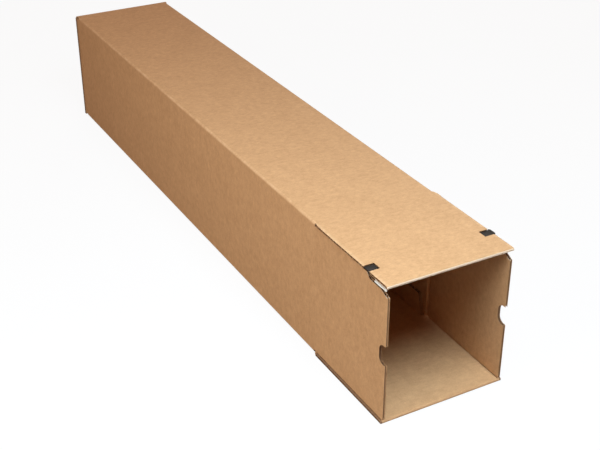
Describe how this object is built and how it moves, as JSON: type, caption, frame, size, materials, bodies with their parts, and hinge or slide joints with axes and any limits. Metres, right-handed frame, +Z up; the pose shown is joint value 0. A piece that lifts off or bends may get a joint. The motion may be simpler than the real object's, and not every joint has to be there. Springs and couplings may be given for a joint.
{
  "type": "square cardboard shipping tube",
  "caption": "Long square-section corrugated cardboard shipping tube, closed at the far end, with the open end's flaps unfolded and a tear strip and self-adhesive strip under the top flap.",
  "frame": {"origin": "on the floor under the tube, at mid-length and mid-width", "axes": "+Y along the tube from the open end to the closed end, +X to the right as one looks into the open end, +Z up"},
  "size_m": [0.205, 1.174, 0.216],
  "materials": {
    "kraft_board": "matt brown kraft liner",
    "black_tape": "matt black tape",
    "adhesive": "tacky, pale",
    "liner_paper": "smooth white silicone paper"
  },
  "bodies": {
    "tube": {"carton": "kraft_board"},
    "top_flap": {"top_flap": "kraft_board", "tear_strip": "black_tape", "adhesive_strip": "adhesive", "release_liner": "liner_paper"},
    "left_flap": {"left_flap": "kraft_board"},
    "right_flap": {"right_flap": "kraft_board"}
  },
  "joints": [
    {"name": "top_flap_crease", "type": "hinge", "parent": "tube", "child": "top_flap", "pos_m": [0, -0.4165, 0.216], "axis": [-1, 0, 0], "range_deg": [0, 110]},
    {"name": "left_flap_crease", "type": "hinge", "parent": "tube", "child": "left_flap", "pos_m": [-0.098, -0.4075, 0.108], "axis": [0, 0, 1], "range_deg": [-110, 90]},
    {"name": "right_flap_crease", "type": "hinge", "parent": "tube", "child": "right_flap", "pos_m": [0.098, -0.412, 0.108], "axis": [0, 0, -1], "range_deg": [-110, 90]}
  ]
}
